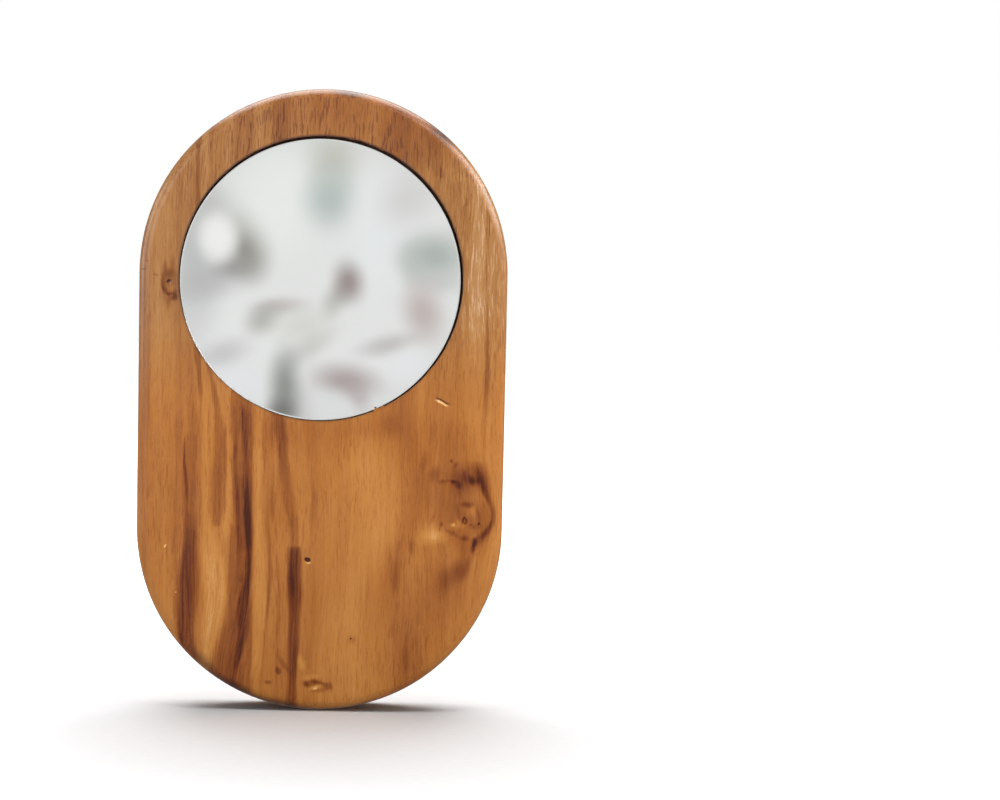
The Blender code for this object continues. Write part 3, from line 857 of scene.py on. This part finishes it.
def make_glass():
    """Clear float glass, a little green through its edge, with faint wiping marks."""
    material, g, shader = new_material("clear_float_glass")
    coords = g.coords()
    wipe = g.node("ShaderNodeMapping", {"Vector": coords, "Scale": (60, 60, 18)}).outputs[0]
    marks = g.noise(wipe, 1.0, 3.0)
    g.feed(shader.inputs["Roughness"], g.ease(marks, 0.5, 0.9, 0.0, 0.03))
    shader.inputs["Base Color"].default_value = (0.99, 0.995, 0.99, 1)
    shader.inputs["Transmission Weight"].default_value = 1.0
    shader.inputs["IOR"].default_value = 1.52
    return material


def make_silver():
    """The silver behind the glass, very slightly uneven."""
    material, g, shader = new_material("silver_and_paint")
    coords = g.coords()
    cloud = g.noise(coords, 45.0, 3.0)
    stops = [(0.3, (0.96, 0.96, 0.96)), (0.7, (0.98, 0.98, 0.98))]
    g.feed(shader.inputs["Base Color"], g.ramp(cloud, stops))
    shader.inputs["Metallic"].default_value = 1.0
    shader.inputs["Roughness"].default_value = 0.015
    return material


def make_adhesive():
    """Cured mirror adhesive: off-white, rubbery, with fine skin wrinkles."""
    material, g, shader = new_material("cured_adhesive")
    coords = g.coords()
    skin = g.noise(coords, 900.0, 5.0, 0.6)
    stops = [(0.3, (0.55, 0.53, 0.47)), (0.7, (0.74, 0.72, 0.66))]
    g.feed(shader.inputs["Base Color"], g.ramp(skin, stops))
    g.feed(shader.inputs["Roughness"], g.ease(skin, 0.3, 0.7, 0.45, 0.65))
    g.bump(shader, 0.5, 0.1 * MM, skin)
    return material


# ---------------------------------------------------------------- camera, stage and lights

CAMERA_DISTANCE = 0.70
CAMERA_ELEVATION_DEG = 3.5
CAMERA_ROLL_DEG = 0.95
PICTURE_WIDTH = 0.3522
PICTURE_SHIFT_X = 0.1786
PICTURE_SHIFT_Y = 0.0027
SENSOR_WIDTH = 36.0

BOARD_MIDDLE = (0, 0, BOARD_LENGTH / 2)
COOL = (0.84, 0.93, 1)

# Lamps that don't light the floor: name, place, target, size, watts and colour
FRONT_LAMPS = [
    ("front_left_softbox", (-0.8, -1.3, 0.40), BOARD_MIDDLE, 0.8, 9.2, (0.97, 0.99, 1)),
    ("upper_right_softbox", (0.78, -0.62, 0.74), (0.02, 0, 0.14), 0.8, 10.5, (1, 0.95, 0.95)),
    ("right_edge_softbox", (0.80, -0.06, 0.62), BOARD_MIDDLE, 0.5, 5.5, COOL),
    ("left_edge_softbox", (-0.85, -0.10, 0.35), BOARD_MIDDLE, 0.5, 2.5, COOL),
]

# The floor, and from where to where its own glow comes in with distance from the mirror
FLOOR_HALF = 4.0
GLOW_START = 0.08
GLOW_FULL = 0.45


def aim(obj, target):
    """Point a camera's or lamp's -Z axis at a place."""
    obj.rotation_euler = (Vector(target) - obj.location).to_track_quat("-Z", "Y").to_euler()


def make_camera():
    """A long lens square to the mirror's face and slightly above its middle."""
    data = bpy.data.cameras.new("camera")
    data.sensor_width = SENSOR_WIDTH
    data.lens = SENSOR_WIDTH * CAMERA_DISTANCE / PICTURE_WIDTH
    data.shift_x = PICTURE_SHIFT_X
    data.shift_y = PICTURE_SHIFT_Y
    data.clip_start = 0.01
    data.clip_end = 50.0
    camera = add_object("camera", data)
    rise = math.radians(CAMERA_ELEVATION_DEG)
    target = Vector((0, FRONT_Y, BOARD_LENGTH / 2))
    camera.location = target + CAMERA_DISTANCE * Vector((0, -math.cos(rise), math.sin(rise)))
    aim(camera, target)
    camera.rotation_euler.rotate_axis("Z", math.radians(CAMERA_ROLL_DEG))
    bpy.context.scene.camera = camera
    return camera


def add_lamp(name, place, target, size, power, colour=(1, 1, 1)):
    """A square soft light."""
    data = bpy.data.lights.new(name, "AREA")
    data.shape = "SQUARE"
    data.size = size
    data.energy = power
    data.color = colour
    lamp = add_object(name, data)
    lamp.location = place
    aim(lamp, target)
    return lamp


def make_lights(floor):
    """A soft light above that also lights the floor, and lamps that light all but the floor."""
    add_lamp("top_softbox", (0, 0.27, 1.30), (0, 0, 0), 1.4, 27.0)
    not_lit = bpy.data.collections.new("not_lit_from_the_front")
    not_lit.objects.link(floor)
    not_lit.collection_objects[0].light_linking.link_state = "EXCLUDE"
    for lamp in FRONT_LAMPS:
        add_lamp(*lamp).light_linking.receiver_collection = not_lit


def make_world():
    """White behind everything for the camera, and soft even light for the rest."""
    world = bpy.data.worlds.new("studio")
    world.use_nodes = True
    bpy.context.scene.world = world
    g = Graph(world.node_tree)
    world.node_tree.nodes.clear()
    seen = g.node("ShaderNodeBackground", {"Color": (1, 1, 1, 1), "Strength": 1.0})
    light = g.node("ShaderNodeBackground", {"Color": (0.95, 0.975, 1, 1), "Strength": 0.18})
    path = g.node("ShaderNodeLightPath")
    mix = g.node("ShaderNodeMixShader", {0: path.outputs["Is Camera Ray"]})
    g.feed(mix.inputs[1], light.outputs[0])
    g.feed(mix.inputs[2], seen.outputs[0])
    out = g.node("ShaderNodeOutputWorld")
    g.feed(out.inputs["Surface"], mix.outputs[0])


def make_floor():
    """A plain white floor that glows with distance, so that it has no horizon."""
    mesh = bpy.data.meshes.new("floor")
    signs = [(-1, -1), (1, -1), (1, 1), (-1, 1)]
    corners = [(x * FLOOR_HALF, y * FLOOR_HALF, 0) for x, y in signs]
    mesh.from_pydata(corners, [], [(0, 1, 2, 3)])
    material, g, shader = new_material("white_paper")
    coords = g.coords()
    stops = [(0.3, (0.90, 0.90, 0.90)), (0.7, (0.92, 0.92, 0.92))]
    g.feed(shader.inputs["Base Color"], g.ramp(g.noise(coords, 300.0, 2.0), stops))
    off = g.node("ShaderNodeVectorMath", {0: coords}, operation="LENGTH").outputs["Value"]
    shader.inputs["Emission Color"].default_value = (1, 1, 1, 1)
    g.feed(shader.inputs["Emission Strength"], g.ease(off, GLOW_START, GLOW_FULL))
    shader.inputs["Roughness"].default_value = 0.9
    shader.inputs["Specular IOR Level"].default_value = 0.0
    mesh.materials.append(material)
    floor = add_object("floor", mesh)
    floor.visible_transmission = False
    floor.visible_glossy = False
    return floor


# What the mirror shows: an out-of-focus pale room, of which one wall faces it. A patch is given
# by where it appears on the mirror, from the glass's middle, its half sizes, its turn, and its
# colour and strength
ROOM_DISTANCE = 1.0
ROOM_SIZE = (6.0, 4.0, 5.0)
ROOM_MIDDLE_Z = 1.0
ROOM_PATCHES_MM = [
    # left: grey shadows round a white ball
    (-44, 8, 8, 20, 0, (0.5, 0.51, 0.51), 0.8),
    (-38, -1, 12, 5, 15, (0.5, 0.5, 0.5), 0.7),
    (-36, 24, 10, 7, -35, (0.56, 0.56, 0.54), 0.8),
    (-26, 11, 6.4, 9, 15, (0.17, 0.15, 0.12), 0.95),
    (-31, 4.5, 6, 3.5, 10, (0.34, 0.32, 0.31), 0.7),
    (-36.2, 14.5, 5.6, 6.8, 0, (0.93, 0.93, 0.92), 1.0),
    (-36.2, 14.5, 4.6, 5.6, 0, (0.93, 0.93, 0.92), 0.9),
    # top: greenish block under a beige one, and white beside it
    (-17, 30, 13, 18, 0, (0.88, 0.9, 0.87), 0.8),
    (4, 42, 7.5, 8, 0, (0.56, 0.56, 0.5), 0.85),
    (3, 28.5, 7.5, 8.5, 0, (0.5, 0.56, 0.54), 0.95),
    (20, 15, 9, 16, 0, (0.86, 0.88, 0.89), 0.8),
    (30, 29, 9, 7, 45, (0.68, 0.66, 0.66), 0.7),
    # right: greenish block over a pinkish one
    (40, 9, 10, 7, 0, (0.45, 0.49, 0.46), 0.95),
    (33, 6, 4.5, 6, 0, (0.52, 0.55, 0.52), 0.6),
    (42, 0, 8, 4, 0, (0.56, 0.56, 0.55), 0.6),
    (36.5, -11, 6, 9, 15, (0.55, 0.47, 0.46), 0.9),
    # middle: a dark pinkish knot with a tail
    (6, -6, 3.4, 6.5, -30, (0.48, 0.47, 0.44), 0.75),
    (10, -0.5, 4.4, 6, 10, (0.34, 0.28, 0.27), 0.9),
    # lower left: smudges
    (-14.5, -9.5, 7.5, 2.6, 6, (0.52, 0.46, 0.46), 0.75),
    (-20, -14, 5.5, 4, 35, (0.44, 0.44, 0.41), 0.8),
    (-6, -16, 9, 6, 0, (0.66, 0.66, 0.6), 0.6),
    (-5, -25, 9, 3.4, 35, (0.55, 0.55, 0.52), 0.6),
    (-34, -26.5, 8, 4, 20, (0.54, 0.53, 0.55), 0.65),
    (-30, -37, 9, 5, 0, (0.84, 0.84, 0.88), 0.8),
    # bottom: a dark upright between whites, and a brownish bar
    (-6.5, -45, 5, 6, 0, (0.46, 0.45, 0.44), 0.6),
    (-12, -38, 4.6, 10.5, 0, (0.29, 0.3, 0.28), 0.95),
    (-13, -47, 4.5, 4.5, 0, (0.17, 0.17, 0.16), 0.85),
    (9.5, -35.5, 10, 5, -6, (0.42, 0.35, 0.35), 0.9),
    (14, -41, 3, 5, 30, (0.48, 0.42, 0.42), 0.6),
    (3, -44, 6.5, 4.5, 0, (0.76, 0.77, 0.78), 0.8),
    (24, -22.5, 8.5, 3, 14, (0.5, 0.47, 0.47), 0.7),
    (32, -30, 7, 5, 20, (0.84, 0.84, 0.87), 0.8),
]
ROOM_WHITE = (0.83, 0.835, 0.83)


def room_place(camera, x, z):
    """Where the room lies that the camera sees at a place on the mirror, given from its middle."""
    on_mirror = Vector((GLASS_X + x * MM, FRONT_Y, GLASS_Z + z * MM))
    ray = on_mirror - camera.location
    ray.y = -ray.y
    return on_mirror + ray * (ROOM_DISTANCE / -ray.y)


def make_room(camera):
    """Walls all round that are seen only through the glass, and so only in the mirror."""
    bm = bmesh.new()
    bmesh.ops.create_cube(bm, size=1.0)
    bmesh.ops.scale(bm, vec=ROOM_SIZE, verts=bm.verts)
    middle_y = FRONT_Y - ROOM_DISTANCE + ROOM_SIZE[1] / 2
    bmesh.ops.translate(bm, vec=(0, middle_y, ROOM_MIDDLE_Z), verts=bm.verts)
    mesh = bpy.data.meshes.new("mirrored_room")
    bm.to_mesh(mesh)
    bm.free()
    material = bpy.data.materials.new("pale_room")
    material.use_nodes = True
    material.node_tree.nodes.clear()
    g = Graph(material.node_tree)
    coords = g.coords()
    soft = g.noise(coords, 5.0, 1.0, 0.4)
    pale = [(0.30, (0.52, 0.53, 0.52)), (0.50, (0.74, 0.745, 0.74)), (0.70, ROOM_WHITE)]
    finer = g.noise(coords, 11.0, 1.0, 0.4)
    pinkish = (0.60, 0.55, 0.55, 1)
    colour = g.blend(g.ease(finer, 0.55, 0.75, 0.0, 0.5), g.ramp(soft, pale), pinkish)
    here = g.node("ShaderNodeSeparateXYZ", {0: coords})
    middle = room_place(camera, 0, 0)
    size = (room_place(camera, 1, 0) - middle).x
    flat = g.vector(here.outputs[0], 0.0, here.outputs[2])
    white_half = 0.13
    white = spot_share(g, flat, 0.35, middle.x, middle.z, white_half, white_half, 0)
    colour = g.blend(white, colour, (*ROOM_WHITE, 1))
    for x, z, wide, high, turn, tint, strength in ROOM_PATCHES_MM:
        seen = room_place(camera, x, z)
        share = spot_share(g, flat, 0.92, seen.x, seen.z, wide * size, high * size, turn)
        colour = g.blend(g.times(share, strength), colour, (*tint, 1))
    glow = g.node("ShaderNodeEmission", {"Color": colour, "Strength": 1.0})
    out = g.node("ShaderNodeOutputMaterial")
    g.feed(out.inputs["Surface"], glow.outputs[0])
    mesh.materials.append(material)
    room = add_object("mirrored_room", mesh)
    for ray in ("camera", "diffuse", "glossy", "shadow", "volume_scatter"):
        setattr(room, "visible_" + ray, False)


# ---------------------------------------------------------------- assembly

def make_mirror():
    """The glass, and the silver on its back, a hair's breadth off so that the two don't fight."""
    glass = disc_mesh("glass", GLASS_RADIUS, GLASS_LOW[1], GLASS_HIGH[1], GLASS_ARRIS)
    add_piece("round_glass", glass, [make_glass()], "mirror_glass", "mirror_glass")
    coat_front = GLASS_HIGH[1] + COAT_GAP
    coat = disc_mesh("coat", SILVER_RADIUS, coat_front, coat_front + COAT_THICKNESS, COAT_ARRIS)
    add_piece("silvering", coat, [make_silver()], "mirror_silver", "silver_coat")


def dress_adhesive():
    """The dabs keep their CAD shape."""
    adhesive = make_adhesive()
    for name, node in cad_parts.items():
        if name.startswith("adhesive_dab"):
            node.data.materials.clear()
            node.data.materials.append(adhesive)


def main():
    bpy.context.scene.view_settings.view_transform = "Standard"
    camera = make_camera()
    make_lights(make_floor())
    make_world()
    make_room(camera)
    make_board(make_wood(), make_recess_wood_and_shade())
    make_mirror()
    dress_adhesive()


main()
